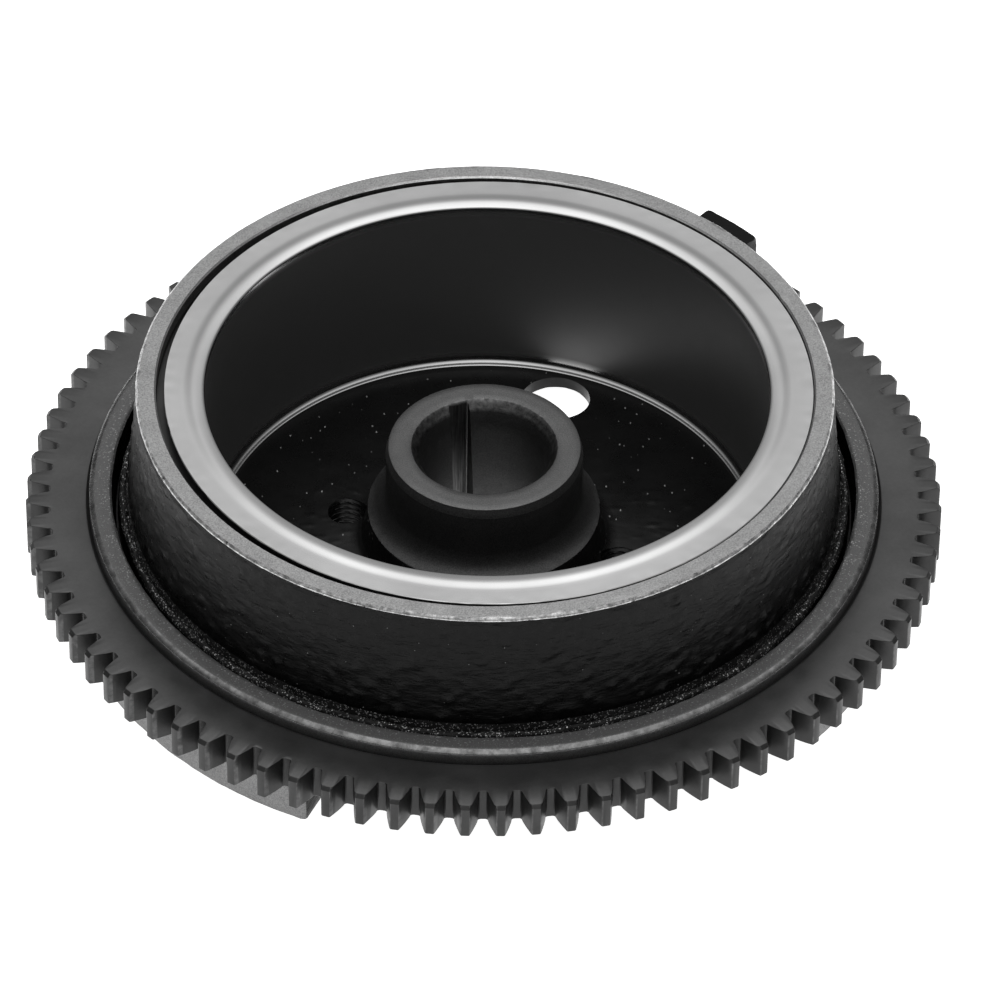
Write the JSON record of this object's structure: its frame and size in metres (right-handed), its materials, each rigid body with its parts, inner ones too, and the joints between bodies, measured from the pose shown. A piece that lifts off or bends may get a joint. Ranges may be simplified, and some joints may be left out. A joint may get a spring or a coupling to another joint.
{
  "type": "magneto flywheel",
  "caption": "Black cast-iron magneto flywheel cup with a keyed taper hub, a shrunk-on steel starter ring gear and arc magnets sealed behind a bright pressed liner.",
  "frame": {"origin": "on the crankshaft axis, in the face of the flat boss on the closed side of the cup, which is what the flywheel stands on", "axes": "+Z along the crankshaft axis towards the open side of the cup, where the engine and its stator are; +X and +Y across the cup, with the keyway at 112.5 degrees from +X and the trigger lug at 47 degrees"},
  "size_m": [0.215, 0.215, 0.0575],
  "materials": {
    "casting_paint": "rough sand-cast iron under gloss black paint, with rim, gear seat, hub and pads machined bright after painting",
    "gear_steel": "hobbed steel, heat-darkened by shrink fitting, with bright worn tooth edges",
    "liner_steel": "satin deep-drawn stainless sheet",
    "potting_resin": "poured black resin",
    "spacer_plastic": "moulded glass-filled plastic",
    "magnet_ferrite": "ground sintered ferrite"
  },
  "bodies": {
    "root": {"flywheel_casting": "casting_paint", "ring_gear": "gear_steel", "magnet_liner": "liner_steel", "potting_ring": "potting_resin", "magnet_spacer": "spacer_plastic", "magnet_01": "magnet_ferrite", "magnet_02": "magnet_ferrite", "magnet_03": "magnet_ferrite", "magnet_04": "magnet_ferrite", "magnet_05": "magnet_ferrite", "magnet_06": "magnet_ferrite", "magnet_07": "magnet_ferrite", "magnet_08": "magnet_ferrite", "magnet_09": "magnet_ferrite", "magnet_10": "magnet_ferrite", "magnet_11": "magnet_ferrite", "magnet_12": "magnet_ferrite"}
  },
  "joints": []
}
